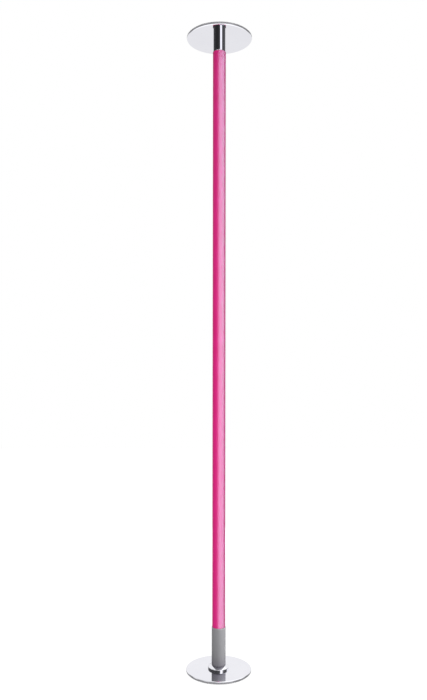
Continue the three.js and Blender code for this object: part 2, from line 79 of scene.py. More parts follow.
# Plates, pads, and the screws that come in through countersunk holes
PLATE_EDGE_RADIUS = 4 * MM
PLATE_WALL_DEPTH = 0.6 * MM
PLATE_EDGE_CHAMFER = 0.8 * MM
PLATE_FLAT_MARGIN = 0.4 * MM
PLATE_BOLT_RADIUS = 5 * MM
PAD_EDGE_CHAMFER = 0.8 * MM
PAD_GROOVE_DEPTH = 0.8 * MM
PAD_GROOVE_WIDTH = 2 * MM
PAD_FIRST_GROOVE = 30 * MM
PAD_GROOVE_STEP = 15 * MM
PAD_GROOVES = 6
SCREW_GAP = 0.3 * MM
HEAD_RIM = 0.5 * MM
HUB_SCREWS = 4
HUB_SCREW_RADIUS = 3 * MM

# Hub, jacking screw and nut
HUB_SLOPE_HEIGHT = 6 * MM
HUB_RIM_ROUND = 1.3 * MM
HUB_SEAT_MARGIN = 0.5 * MM
HUB_ROOF = 4.2 * MM
SHANK_RADIUS = 15 * MM
HEX_BASE = 24.5 * MM
HEX_TOP = 36.5 * MM
HEX_CORNER_TRIM = 1.6 * MM
HEX_TRIM_HEIGHT = 1 * MM
THREAD_RADIUS = 18 * MM
THREAD_PITCH = 10 * MM
THREAD_DEPTH = 5 * MM
THREAD_CREST = 3.66 * MM
THREAD_FLANK = math.tan(math.radians(15))
THREAD_GAP = 0.35 * MM
THREAD_ROOT = 6 * MM
NUT_FLANGE_HEIGHT = 10 * MM
NUT_FLAT = 23 * MM
NUT_FLAT_HEIGHT = 8 * MM
NUT_FLAT_CUTTER_RADII = 4
NUT_PINS = 3
PIN_CHAMFER = 0.4 * MM

# Sleeve, ceiling neck and guide bush
SLEEVE_WALL = 1.5 * MM
SLEEVE_LIP = 0.6 * MM
NECK_SPIGOT_WALL = 1.5 * MM
NECK_CHAMFER = 0.5 * MM
BUSH_WALL = 1.9 * MM
BUSH_CHAMFER = 0.6 * MM
BUSH_GROOVE_DEPTH = 0.5 * MM
BUSH_GROOVE_WIDTH = 1.6 * MM

# The pole's tubes, from the floor up
TUBES = ["lower_tube", "long_extension_tube", "short_extension_tube", "upper_tube"]


def top_of(node):
    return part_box(node)[1].z


def foot_of(node):
    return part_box(node)[0].z


def middle_height(node):
    return (foot_of(node) + top_of(node)) / 2


def radius_of(node):
    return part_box(node)[1].x


# How a piece is modelled

def deselect():
    bpy.ops.object.select_all(action="DESELECT")


def take(piece):
    """Makes one piece the only selected and active object."""
    deselect()
    piece.select_set(True)
    bpy.context.view_layer.objects.active = piece


def settle(piece):
    """Puts the piece's origin on the frame's, with its place in its mesh."""
    take(piece)
    bpy.ops.object.transform_apply(location=True, rotation=True, scale=True)
    return piece


def turn(name, outline, solid=False, sides=ROUND_SIDES):
    """A piece turned about the pole. A circle at the outline's first radius and height is extruded and
    resized to each next one. A solid piece keeps its two ends filled, and any other is led back to its first
    corner."""
    deselect()
    radius, height = outline[0]
    fill = "NGON" if solid else "NOTHING"
    place = (0, 0, height)
    bpy.ops.mesh.primitive_circle_add(vertices=sides, radius=radius, fill_type=fill, location=place)
    piece = bpy.context.object
    piece.name = name
    bpy.ops.object.mode_set(mode="EDIT")
    bpy.ops.mesh.select_all(action="SELECT")
    extrude = bpy.ops.mesh.extrude_region_move if solid else bpy.ops.mesh.extrude_edges_move
    for next_radius, next_height in outline[1:] + ([] if solid else outline[:1]):
        extrude(TRANSFORM_OT_translate={"value": (0, 0, next_height - height)})
        growth = next_radius / radius
        bpy.ops.transform.resize(value=(growth, growth, 1), center_override=(0, 0, next_height))
        radius, height = next_radius, next_height
    bpy.ops.mesh.select_all(action="SELECT")
    bpy.ops.mesh.remove_doubles(threshold=NEAR)
    bpy.ops.mesh.normals_make_consistent(inside=False)
    bpy.ops.object.mode_set(mode="OBJECT")
    return settle(piece)


def soften(piece, radius, height, width, steps=1):
    """Bevels the ring of edges at one radius and height."""
    take(piece)
    bpy.ops.object.mode_set(mode="EDIT")
    bpy.ops.mesh.select_mode(type="VERT")
    bpy.ops.mesh.select_all(action="DESELECT")
    bpy.ops.object.mode_set(mode="OBJECT")
    for vertex in piece.data.vertices:
        x, y, z = vertex.co
        vertex.select = abs(math.hypot(x, y) - radius) < NEAR and abs(z - height) < NEAR
    bpy.ops.object.mode_set(mode="EDIT")
    bpy.ops.mesh.bevel(
        offset=width,
        offset_type="OFFSET",
        segments=steps,
        profile=ROUND_PROFILE,
        affect="EDGES",
    )
    bpy.ops.object.mode_set(mode="OBJECT")


def combine(piece, other, operation):
    """Cuts another shape out of the piece, or joins it on, and removes the other."""
    take(piece)
    bpy.ops.object.modifier_add(type="BOOLEAN")
    change = piece.modifiers[-1]
    change.operation = operation
    change.solver = "EXACT"
    change.object = other
    bpy.ops.object.modifier_apply(modifier=change.name)
    bpy.data.objects.remove(other)


def cut_away(piece, tool):
    combine(piece, tool, "DIFFERENCE")


def lay_back():
    """Turns a shape that stands on the pole's axis, so that it points away from the camera."""
    return Matrix.Rotation(-math.pi / 2, 4, "X")


def radial_hole(piece, radius, start, surface, height, angle=0, flare=HOLE_FLARE):
    """Drills into the piece from outside, towards the pole's axis, at an angle from the back. The drill
    widens at the surface, which takes the hole's sharp edge off."""
    wide = radius + flare
    outline = [(radius, start), (radius, surface - flare), (wide, surface), (wide, surface + OVERRUN)]
    drill = turn("drill", outline, solid=True, sides=HOLE_SIDES)
    raised = Matrix.Translation((0, 0, height))
    drill.matrix_world = Matrix.Rotation(angle, 4, "Z") @ raised @ lay_back()
    cut_away(piece, settle(drill))


def countersunk_hole(piece, head, shank, face, depth, place=(0, 0), up=1):
    """Cuts a countersunk screw's hole into a face. up is 1 where the screw points up and -1 where down."""
    wide, narrow = head + SCREW_GAP, shank + SCREW_GAP
    outline = [
        (wide, -OVERRUN),
        (wide, HEAD_RIM),
        (narrow, HEAD_RIM + head - shank),
        (narrow, depth + SCREW_GAP),
    ]
    tool = turn("countersink", outline, solid=True, sides=HOLE_SIDES)
    turned_over = Matrix.Identity(4) if up > 0 else Matrix.Rotation(math.pi, 4, "X")
    tool.matrix_world = Matrix.Translation((*place, face)) @ turned_over
    cut_away(piece, settle(tool))


def smooth(piece):
    """Smooths all but the sharp edges, and lets the large faces decide how light turns at their edges."""
    take(piece)
    bpy.ops.object.shade_smooth_by_angle(angle=SMOOTH_ANGLE)
    bpy.ops.object.modifier_add(type="WEIGHTED_NORMAL")
    evening = piece.modifiers[-1]
    evening.keep_sharp = True
    evening.weight = LARGE_FACE_WEIGHT
    bpy.ops.object.modifier_apply(modifier=evening.name)


def hand_over(piece, finish, body, node):
    """Finishes a piece that stands for a node."""
    smooth(piece)
    piece.data.materials.clear()
    piece.data.materials.append(finish)
    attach(piece, body)
    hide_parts(node)


def refinish(piece, finish, chosen):
    """Gives another finish to the faces that are chosen by their corners' places."""
    piece.data.materials.append(finish)
    for face in piece.data.polygons:
        if chosen([piece.data.vertices[index].co for index in face.vertices]):
            face.material_index = len(piece.data.materials) - 1


def between_radii(inner, outer):
    """Chooses the faces whose corners all lie between two distances from the pole's axis."""
    def chosen(corners):
        distances = [math.hypot(*corner.xy) for corner in corners]
        return min(distances) > inner - NEAR and max(distances) < outer + NEAR

    return chosen


def above_height(height):
    """Chooses the faces that lie above a height."""
    def chosen(corners):
        return min(corner.z for corner in corners) > height - NEAR

    return chosen


# How a finish is made

# Noise runs mostly between these two values
PATTERN_LOW = 0.3
PATTERN_HIGH = 0.7
FINE_DETAIL = 4.0

# What a plain metal's patterns measure, by the size and the depth of its grain
METAL_CLOUD_GRAINS = 4
METAL_STAIN_GRAINS = 2
METAL_MARK_SIZE = 0.8 * MM
METAL_MARK_DEPTH = 0.25


def srgb(red, green, blue):
    """A colour as a paint program writes it, from 0 to 255, in the linear values that a shader takes."""
    shares = [value / 255 for value in (red, green, blue)]
    return tuple(
        share / 12.92 if share <= 0.04045 else ((share + 0.055) / 1.055) ** 2.4
        for share in shares
    )


def add_node(tree, kind, inputs, **settings):
    """Adds a node. Each input is a number, a colour or another node's output, by its socket's name or
    number."""
    node = tree.nodes.new(f"ShaderNode{kind}")
    for setting, value in settings.items():
        setattr(node, setting, value)
    for socket, value in inputs.items():
        if isinstance(value, bpy.types.NodeSocket):
            tree.links.new(value, node.inputs[socket])
        else:
            node.inputs[socket].default_value = value
    return node


def calculate(tree, operation, first, second=0.0):
    return add_node(tree, "Math", {0: first, 1: second}, operation=operation).outputs[0]


def spread(tree, value, low, high, start=PATTERN_LOW, end=PATTERN_HIGH):
    """Spreads a pattern's values between start and end over the range from low to high."""
    limits = {"Value": value, "From Min": start, "From Max": end, "To Min": low, "To Max": high}
    return add_node(tree, "MapRange", limits).outputs["Result"]


def colour_ramp(tree, pattern, stops):
    """Turns a pattern into colours. Each stop is a place in it, from 0 to 1, and the colour there."""
    ramp = add_node(tree, "ValToRGB", {"Fac": pattern})
    elements = ramp.color_ramp.elements
    halfway = 0.5
    while len(elements) < len(stops):
        elements.new(halfway)
    for element, (place, colour) in zip(elements, stops):
        element.position = place
        element.color = (*colour, 1)
    return ramp.outputs["Color"]


def new_finish(name, metallic, **sockets):
    """A Principled material with its even values set on the shader's own sockets."""
    finish = bpy.data.materials.new(name)
    finish.use_nodes = True
    shader = finish.node_tree.nodes["Principled BSDF"]
    shader.inputs["Metallic"].default_value = metallic
    for socket, value in sockets.items():
        shader.inputs[socket.replace("_", " ")].default_value = value
    return finish


def object_place(tree):
    return add_node(tree, "TexCoord", {}).outputs["Object"]


def height_on(tree):
    return add_node(tree, "SeparateXYZ", {0: object_place(tree)}).outputs["Z"]


def spots(tree, size, stretch=(1, 1, 1), detail=2.0):
    """Noise with spots of about one size, which are longer along an axis whose stretch is under 1."""
    scale = [share / size for share in stretch]
    scaled = add_node(tree, "Mapping", {"Vector": object_place(tree), "Scale": scale}).outputs[0]
    return add_node(tree, "TexNoise", {"Vector": scaled, "Scale": 1.0, "Detail": detail}).outputs["Fac"]


def turning_marks(tree, size, detail=3.0):
    """Fine rings about the pole's axis, as a lathe or a polishing wheel leaves them."""
    level = {0: object_place(tree), 1: (1, 1, 0)}
    flat = add_node(tree, "VectorMath", level, operation="MULTIPLY").outputs[0]
    radius = add_node(tree, "VectorMath", {0: flat}, operation="LENGTH").outputs["Value"]
    along = calculate(tree, "DIVIDE", calculate(tree, "ADD", radius, height_on(tree)), size)
    settings = {"W": along, "Scale": 1.0, "Detail": detail}
    return add_node(tree, "TexNoise", settings, noise_dimensions="1D").outputs["Fac"]


def colour_by(finish, pattern, stops):
    """Colours the finish along a pattern."""
    tree = finish.node_tree
    colour = colour_ramp(tree, pattern, stops)
    tree.links.new(colour, tree.nodes["Principled BSDF"].inputs["Base Color"])


def cloud(finish, pattern, dark, light):
    """Colours the finish from dark to light along a noise pattern."""
    colour_by(finish, pattern, [(PATTERN_LOW, dark), (PATTERN_HIGH, light)])


def roughen(finish, pattern, low, high):
    tree = finish.node_tree
    roughness = spread(tree, pattern, low, high)
    tree.links.new(roughness, tree.nodes["Principled BSDF"].inputs["Roughness"])


def emboss(finish, *patterns):
    """Raises the surface by patterns, each with its depth in metres."""
    tree = finish.node_tree
    height = 0.0
    for pattern, depth in patterns:
        height = calculate(tree, "ADD", calculate(tree, "MULTIPLY", pattern, depth), height)
    bump = add_node(tree, "Bump", {"Height": height, "Distance": 1.0, "Strength": 1.0})
    tree.links.new(bump.outputs["Normal"], tree.nodes["Principled BSDF"].inputs["Normal"])


def pink_coat_finish():
    """Glossy pink powder coat: a faint orange peel under a clear layer, and faint scuffs along the pole."""
    finish = new_finish(
        "pink_powder_coat",
        metallic=0.0,
        Coat_Weight=1.0,
        Coat_Roughness=0.38,
        Coat_IOR=1.35,
        Specular_IOR_Level=0.0,
    )
    tree = finish.node_tree
    cloud(finish, spots(tree, size=40 * MM), dark=srgb(220, 20, 122), light=srgb(226, 24, 130))
    scuffs = spots(tree, size=3 * MM, stretch=(1, 1, 0.05))
    roughen(finish, scuffs, low=0.32, high=0.42)
    orange_peel = spots(tree, size=1.6 * MM)
    waves = spots(tree, size=9 * MM)
    emboss(finish, (orange_peel, 4 * MICRON), (waves, 8 * MICRON))
    return finish


def chrome_finish():
    """Mirror-polished chrome with a trace of the polishing wheel."""
    finish = new_finish("polished_chrome", metallic=1.0)
    tree = finish.node_tree
    cloud(finish, spots(tree, size=60 * MM), dark=(0.868, 0.868, 0.92), light=(0.888, 0.888, 0.938))
    roughen(finish, turning_marks(tree, size=1.5 * MM), low=0.02, high=0.05)
    waves = spots(tree, size=25 * MM)
    emboss(finish, (turning_marks(tree, size=3 * MM), 0.4 * MICRON), (waves, 6 * MICRON))
    return finish


def edge_with_painted_reflection_finish():
    """The plates' walls: turned, with a grey colour that is a painted reflection of a dark studio, so that
    they stay grey from all sides.
    """
    finish = new_finish("turned_edge_painted_reflection", metallic=0.35)
    tree = finish.node_tree
    cloud(finish, spots(tree, size=20 * MM), dark=srgb(154, 154, 158), light=srgb(174, 174, 179))
    roughen(finish, turning_marks(tree, size=0.6 * MM), low=0.25, high=0.4)
    dents = spots(tree, size=4 * MM)
    emboss(finish, (turning_marks(tree, size=0.6 * MM), 6 * MICRON), (dents, 8 * MICRON))
    return finish


def bare_rim_and_highlight_finish():
    """Dull steel at the pole's open end, where the coat stops. Its grey band, lighter than the coat beside
    it, is also a painted highlight along the tube's top edge.
    """
    finish = new_finish("bare_rim_painted_highlight", metallic=0.0, Specular_IOR_Level=0.1)
    tree = finish.node_tree
    cloud(finish, spots(tree, size=3 * MM), dark=srgb(112, 110, 114), light=srgb(140, 138, 142))
    roughen(finish, turning_marks(tree, size=0.4 * MM), low=0.6, high=0.8)
    emboss(finish, (turning_marks(tree, size=0.4 * MM), 6 * MICRON))
    return finish


# How the sleeve's colour changes from its foot, at 0, to its top, at 1, and how ragged the change is. The
# dark foot is painted shade and the pale lip is a painted highlight
SLEEVE_PAINTED_SHADE_AND_LIP_HIGHLIGHT = [
    (0, srgb(84, 82, 90)),
    (0.04, srgb(126, 124, 131)),
    (0.3, srgb(139, 139, 142)),
    (0.96, srgb(143, 143, 146)),
    (1, srgb(166, 164, 167)),
]
PAINTED_SHADE_RAGGED = 0.012


def silicone_finish():
    """Grey silicone, moulded with faint streaks along it, with painted shade towards its foot and a painted
    highlight on its lip.
    """
    finish = new_finish("grey_silicone", metallic=0.0, Specular_IOR_Level=0.35)
    tree = finish.node_tree
    streaks = spots(tree, size=2 * MM, stretch=(1, 1, 0.03), detail=3.0)
    climb = spread(tree, height_on(tree), 0, 1, foot_of("adjuster_sleeve"), top_of("adjuster_sleeve"))
    ragged = spread(tree, streaks, -PAINTED_SHADE_RAGGED, PAINTED_SHADE_RAGGED)
    # Colour by height: painted shade at the foot and a painted highlight at the lip
    colour_by(finish, calculate(tree, "ADD", climb, ragged), SLEEVE_PAINTED_SHADE_AND_LIP_HIGHLIGHT)
    roughen(finish, spots(tree, size=5 * MM), low=0.5, high=0.62)
    pores = spots(tree, size=0.5 * MM)
    emboss(finish, (streaks, 20 * MICRON), (pores, 8 * MICRON))
    return finish


def rubber_finish():
    """Matt black rubber with a fine grain."""
    finish = new_finish("black_rubber", metallic=0.0, Specular_IOR_Level=0.4)
    tree = finish.node_tree
    dust = spots(tree, size=6 * MM, detail=FINE_DETAIL)
    cloud(finish, dust, dark=srgb(24, 24, 26), light=srgb(38, 38, 40))
    roughen(finish, spots(tree, size=4 * MM), low=0.75, high=0.92)
    emboss(finish, (spots(tree, size=0.6 * MM), 30 * MICRON))
    return finish


def nylon_finish():
    """Pale nylon, turned to size."""
    finish = new_finish("nylon", metallic=0.0, Subsurface_Weight=0.1, Subsurface_Scale=1 * MM)
    tree = finish.node_tree
    cloud(finish, spots(tree, size=8 * MM), dark=srgb(224, 222, 212), light=srgb(236, 234, 226))
    roughen(finish, turning_marks(tree, size=0.5 * MM), low=0.4, high=0.55)
    emboss(finish, (turning_marks(tree, size=0.5 * MM), 10 * MICRON))
    return finish


def metal_finish(name, dark, light, low, high, grain, depth, metallic=1.0):
    """A plain metal, whose colour runs from dark to light and whose roughness from low to high. Its grain is
    raised by depth, and faint turning marks lie over it."""
    finish = new_finish(name, metallic)
    tree = finish.node_tree
    cloud(finish, spots(tree, METAL_CLOUD_GRAINS * grain, detail=FINE_DETAIL), dark, light)
    roughen(finish, spots(tree, METAL_STAIN_GRAINS * grain), low, high)
    marks = turning_marks(tree, METAL_MARK_SIZE)
    emboss(finish, (spots(tree, grain), depth), (marks, METAL_MARK_DEPTH * depth))
    return finish


PINK_COAT = pink_coat_finish()
CHROME = chrome_finish()
EDGE_WITH_PAINTED_REFLECTION = edge_with_painted_reflection_finish()
BARE_END_AND_PAINTED_HIGHLIGHT = bare_rim_and_highlight_finish()
SILICONE = silicone_finish()
RUBBER = rubber_finish()
NYLON = nylon_finish()
STEEL = metal_finish(
    "zinc_plated_steel",
    dark=srgb(186, 187, 190),
    light=srgb(208, 208, 208),
    low=0.25,
    high=0.4,
    grain=1.2 * MM,
    depth=6 * MICRON,
    metallic=0.7,
)
TUBE_BORE = metal_finish(
    "bare_tube_bore",
    dark=srgb(96, 94, 92),
    light=srgb(140, 138, 136),
    low=0.4,
    high=0.6,
    grain=2 * MM,
    depth=10 * MICRON,
)
DARK_STEEL = metal_finish(
    "black_oxide_steel",
    dark=srgb(38, 38, 42),
    light=srgb(64, 64, 68),
    low=0.35,
    high=0.5,
    grain=0.8 * MM,
    depth=6 * MICRON,
)
CAST = metal_finish(
    "cast_aluminium",
    dark=srgb(168, 170, 172),
    light=srgb(196, 198, 200),
    low=0.4,
    high=0.6,
    grain=1.5 * MM,
    depth=30 * MICRON,
)

# What each node that stays is finished in
NODE_FINISHES = {
    "hub_screw": DARK_STEEL,
    "jack_screw": DARK_STEEL,
    "stop_plug_screw": DARK_STEEL,
    "plate_bolt": DARK_STEEL,
    "washer": NYLON,
    "shell": CAST,
    "stop_plug": CAST,
    "neck_plug": STEEL,
    "neck_buffer": RUBBER,
}


def finish_inner_nodes():
    """Gives the nodes that no piece stands for a finish by the longest fitting words in their names."""
    for name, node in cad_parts.items():
        if node.hide_render:
            continue
        words = [word for word in NODE_FINISHES if word in name]
        node.data.materials.clear()
        node.data.materials.append(NODE_FINISHES[max(words, key=len)])


# The pieces

def make_tube(tube):
    """A coated tube with a bare bore. At the back it has the holes for the joiners' keys and the stop plug's
    screw, and round the lowest tube's foot are those for the nut's pins."""
    foot, top, radius = foot_of(tube), top_of(tube), radius_of(tube)
    bore = radius - TUBE_WALL
    inside = bore - OVERRUN
    outline = [(radius, foot), (radius, top - BARE_AND_HIGHLIGHT_RIM), (radius, top), (bore, top), (bore, foot)]
    piece = turn(f"{tube}_skin", outline)
    soften(piece, radius, foot, TUBE_CHAMFER)
    if tube == TUBES[-1]:
        soften(piece, radius, top, TUBE_TOP_ROUND, LIP_STEPS)
        radial_hole(piece, STOP_HOLE_RADIUS, inside, radius, middle_height("stop_plug_screw"))
    else:
        soften(piece, radius, top, TUBE_CHAMFER)
        radial_hole(piece, KEY_HOLE_RADIUS, inside, radius, top - JACK_OFFSET)
    if tube == TUBES[0]:
        height = middle_height("nut_pin_1")
        for number in range(NUT_PINS):
            angle = number * math.tau / NUT_PINS
            radial_hole(piece, PIN_HOLE_RADIUS, inside, radius, height, angle, PIN_HOLE_FLARE)
    else:
        radial_hole(piece, KEY_HOLE_RADIUS, inside, radius, foot + JACK_OFFSET)
    hand_over(piece, PINK_COAT, "pole", tube)
    refinish(piece, TUBE_BORE, between_radii(0, bore))
    if tube == TUBES[-1]:
        # The band under the top is bare steel, and its colour is a painted highlight along the top edge
        refinish(piece, BARE_END_AND_PAINTED_HIGHLIGHT, above_height(top - BARE_AND_HIGHLIGHT_RIM))


def make_plate(node, body, screw, shank, places):
    """A polished plate whose edge is rounded on the pole's side. Its screws come in from its pad's side."""
    radius = radius_of(node)
    pad_side, pole_side = foot_of(node), top_of(node)
    up = 1
    if node == "ceiling_plate":
        pad_side, pole_side = pole_side, pad_side
        up = -1
    outline = [
        (radius - PLATE_EDGE_RADIUS, pad_side),
        (radius, pad_side),
        (radius, pole_side),
        (radius - PLATE_EDGE_RADIUS - PLATE_FLAT_MARGIN, pole_side),
    ]
    piece = turn(f"{node}_polished", outline, solid=True)
    soften(piece, radius, pole_side, PLATE_EDGE_RADIUS, EDGE_STEPS)
    soften(piece, radius, pad_side, PLATE_EDGE_CHAMFER)
    low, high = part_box(screw)
    head = (high.x - low.x) / 2
    face = low.z if up > 0 else high.z
    for place in places:
        countersunk_hole(piece, head, shank, face, high.z - low.z, place, up)
    hand_over(piece, CHROME, body, node)
    # The wall's grey colour is a painted reflection of the dark studio, over real turning marks
    refinish(piece, EDGE_WITH_PAINTED_REFLECTION, between_radii(radius - PLATE_WALL_DEPTH, radius))


def make_pad(node, body):
    """A rubber pad with round grooves in the face that grips the floor or the ceiling."""
    radius = radius_of(node)
    grip, back = foot_of(node), top_of(node)
    if node == "ceiling_pad":
        grip, back = back, grip
    inward = 1 if back > grip else -1
    groove_floor = grip + inward * PAD_GROOVE_DEPTH
    outline = [(PAD_FIRST_GROOVE / 2, grip)]
    for number in range(PAD_GROOVES):
        start = PAD_FIRST_GROOVE + number * PAD_GROOVE_STEP
        end = start + PAD_GROOVE_WIDTH
        outline += [(start, grip), (start, groove_floor), (end, groove_floor), (end, grip)]
    outline += [
        (radius - PAD_EDGE_CHAMFER, grip),
        (radius, grip + inward * PAD_EDGE_CHAMFER),
        (radius, back),
        (PAD_FIRST_GROOVE, back),
    ]
    hand_over(turn(f"{node}_grooved", outline, solid=True), RUBBER, body, node)


def hub_screw_places():
    places = []
    for number in range(1, HUB_SCREWS + 1):
        low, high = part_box(f"hub_screw_{number}")
        places.append(((low.x + high.x) / 2, (low.y + high.y) / 2))
    return places


def make_hub():
    """The chromed ring that holds the screw's foot: a sloping top, a flat seat and a recess from beneath."""
    foot, top, radius = foot_of("hub_ring"), top_of("hub_ring"), radius_of("hub_ring")
    rim = top - HUB_SLOPE_HEIGHT
    seat = radius_of("adjuster_sleeve") + HUB_SEAT_MARGIN
    bore = SHANK_RADIUS + SCREW_GAP
    recess = radius_of("thrust_washer") + SCREW_GAP
    recess_top = top - HUB_ROOF
    outline = [
        (recess, foot),
        (radius, foot),
        (radius, rim),
        (seat, top),
        (bore, top),
        (bore, recess_top),
        (recess, recess_top),
    ]
    piece = turn("hub_ring_turned", outline)
    soften(piece, radius, rim, HUB_RIM_ROUND, LIP_STEPS)
    hole_radius = HUB_SCREW_RADIUS + SCREW_GAP
    hole_top = top_of("hub_screw_1") + SCREW_GAP
    for x, y in hub_screw_places():
        hole = [(hole_radius, foot - OVERRUN), (hole_radius, hole_top)]
        drill = turn("drill", hole, solid=True, sides=HOLE_SIDES)
        drill.location = (x, y, 0)
        cut_away(piece, settle(drill))
    hand_over(piece, CHROME, "base", "hub_ring")


def make_sleeve():
    """The grey sleeve that hides the adjuster, with a rounded lip at each end."""
    node = "adjuster_sleeve"
    foot, top, radius = foot_of(node), top_of(node), radius_of(node)
    bore = radius - SLEEVE_WALL
    piece = turn("adjuster_sleeve_moulded", [(bore, foot), (radius, foot), (radius, top), (bore, top)])
    for height in (foot, top):
        soften(piece, radius, height, SLEEVE_LIP, LIP_STEPS)
    hand_over(piece, SILICONE, "sleeve", node)


def thread(name, bottom, top, spare):
    """A threaded rod. One turn's section is drawn from a single point, swept up a helix and trimmed at both
    ends. spare widens it all over, for the bore of a nut."""
    core, crest = THREAD_RADIUS - THREAD_DEPTH + spare, THREAD_RADIUS + spare
    at_core = THREAD_CREST / 2 + (THREAD_RADIUS - core) * THREAD_FLANK + spare
    at_crest = THREAD_CREST / 2 + (THREAD_RADIUS - crest) * THREAD_FLANK + spare
    first = HEX_TOP - math.ceil((HEX_TOP - bottom) / THREAD_PITCH + 1) * THREAD_PITCH
    turns = math.ceil((top - first) / THREAD_PITCH) + 1
    section = [(crest, -at_crest), (crest, at_crest), (core, at_core), (core, THREAD_PITCH - at_core)]
    deselect()
    bpy.ops.mesh.primitive_plane_add(size=MM, location=(core, 0, first - at_core))
    piece = bpy.context.object
    piece.name = name
    bpy.ops.object.mode_set(mode="EDIT")
    bpy.ops.mesh.select_all(action="SELECT")
    bpy.ops.mesh.merge(type="CENTER")
    radius, height = core, -at_core
    for next_radius, next_height in section:
        step = (next_radius - radius, 0, next_height - height)
        bpy.ops.mesh.extrude_vertices_move(TRANSFORM_OT_translate={"value": step})
        radius, height = next_radius, next_height
    bpy.ops.object.mode_set(mode="OBJECT")
    settle(piece)
    bpy.ops.object.modifier_add(type="SCREW")
    sweep = piece.modifiers[-1]
    sweep.axis = "Z"
    sweep.angle = math.tau
    sweep.screw_offset = THREAD_PITCH
    sweep.iterations = turns
    sweep.steps = THREAD_SIDES
    sweep.render_steps = THREAD_SIDES
    sweep.use_merge_vertices = True
    sweep.merge_threshold = NEAR
    sweep.use_smooth_shade = False
    bpy.ops.object.modifier_apply(modifier=sweep.name)
    bpy.ops.object.mode_set(mode="EDIT")
    bpy.ops.mesh.select_all(action="SELECT")
    bpy.ops.mesh.remove_doubles(threshold=NEAR)
    for height, upper in ((bottom, False), (top, True)):
        bpy.ops.mesh.select_all(action="SELECT")
        bpy.ops.mesh.bisect(
            plane_co=(0, 0, height),
            plane_no=(0, 0, 1),
            use_fill=True,
            clear_inner=not upper,
            clear_outer=upper,
        )
    bpy.ops.mesh.select_all(action="SELECT")
    bpy.ops.mesh.normals_make_consistent(inside=False)
    bpy.ops.object.mode_set(mode="OBJECT")
    return piece


def make_screw():
    """The jacking screw: a foot flange, a plain shank, a hexagon with trimmed corners, and the thread, whose
    root is sunk in the hexagon."""
    foot, top = foot_of("adjuster_screw"), top_of("adjuster_screw")
    flange = radius_of("thrust_washer")
    flange_top = foot_of("collar_washer")
    piece = thread("adjuster_screw_threaded", HEX_TOP - THREAD_ROOT, top, 0)
    outline = [(flange, foot), (flange, flange_top), (SHANK_RADIUS, flange_top), (SHANK_RADIUS, HEX_TOP)]
    combine(piece, turn("shank", outline, solid=True), "UNION")
    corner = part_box("adjuster_screw")[1].y
    hexagon = turn("hexagon", [(corner, HEX_BASE), (corner, HEX_TOP)], solid=True, sides=HEX_SIDES)
    outline = [
        (corner - HEX_CORNER_TRIM, HEX_BASE),
        (corner, HEX_BASE + HEX_TRIM_HEIGHT),
        (corner, HEX_TOP - HEX_TRIM_HEIGHT),
        (corner - HEX_CORNER_TRIM, HEX_TOP),
    ]
    combine(hexagon, turn("hexagon_trim", outline, solid=True), "INTERSECT")
    combine(piece, hexagon, "UNION")
    hand_over(piece, STEEL, "screw", "adjuster_screw")


def make_nut():
    """The nut in the lower tube's foot: a flange with two spanner flats, and a threaded bore."""
    node = "tube_end_nut"
    foot, top, radius = foot_of(node), top_of(node), radius_of(node)
    body = radius_of("lower_tube") - TUBE_WALL - SCREW_GAP
    shoulder = foot + NUT_FLANGE_HEIGHT
    outline = [
        (radius - TUBE_CHAMFER, foot),
        (radius, foot + TUBE_CHAMFER),
        (radius, shoulder),
        (body, shoulder),
        (body, top),
    ]
    piece = turn("tube_end_nut_turned", outline, solid=True)
    block = NUT_FLAT_CUTTER_RADII * radius
    block_middle = foot + NUT_FLAT_HEIGHT / 2 - OVERRUN / 2
    for side in (-1, 1):
        deselect()
        bpy.ops.mesh.primitive_cube_add(
            size=1,
            location=(0, side * (NUT_FLAT + block / 2), block_middle),
            scale=(block, block, NUT_FLAT_HEIGHT + OVERRUN),
        )
        cut_away(piece, settle(bpy.context.object))
    cut_away(piece, thread("thread_tap", foot - OVERRUN, top + OVERRUN, THREAD_GAP))
    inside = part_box("nut_pin_1")[0].y - SCREW_GAP
    height = middle_height("nut_pin_1")
    for number in range(NUT_PINS):
        angle = number * math.tau / NUT_PINS
        radial_hole(piece, PIN_HOLE_RADIUS, inside, radius, height, angle, flare=0)
    hand_over(piece, STEEL, "pole", node)


def make_nut_pins():
    """One pin is turned, and copied for the others. Each copy has its own mesh."""
    low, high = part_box("nut_pin_1")
    radius = (high.x - low.x) / 2
    outline = [(radius, low.y), (radius, high.y - PIN_CHAMFER), (radius - PIN_CHAMFER, high.y)]
    first = turn("nut_pin_turned_1", outline, solid=True, sides=HOLE_SIDES)
    first.matrix_world = Matrix.Translation((0, 0, middle_height("nut_pin_1"))) @ lay_back()
    settle(first)
    pins = [first]
    for number in range(1, NUT_PINS):
        take(first)
        bpy.ops.object.duplicate()
        pin = bpy.context.object
        pin.name = f"nut_pin_turned_{number + 1}"
        pin.rotation_euler = (0, 0, number * math.tau / NUT_PINS)
        pins.append(settle(pin))
    for number, pin in enumerate(pins, 1):
        hand_over(pin, STEEL, "pole", f"nut_pin_{number}")


def make_ceiling_neck():
    """The chromed neck under the ceiling plate, with the turned-down spigot that carries its guide bush."""
    foot, top, radius = foot_of("ceiling_neck"), top_of("ceiling_neck"), radius_of("ceiling_neck")
    shoulder = top_of("neck_guide_bush")
    spigot = radius_of("neck_guide_bush") - BUSH_WALL - SCREW_GAP
    bore = spigot - NECK_SPIGOT_WALL
    outline = [
        (bore, foot),
        (spigot, foot),
        (spigot, shoulder),
        (radius, shoulder),
        (radius, top),
        (bore, top),
    ]
    piece = turn("ceiling_neck_turned", outline)
    soften(piece, radius, shoulder, NECK_CHAMFER, SHOULDER_STEPS)
    hand_over(piece, CHROME, "ceiling_mount", "ceiling_neck")


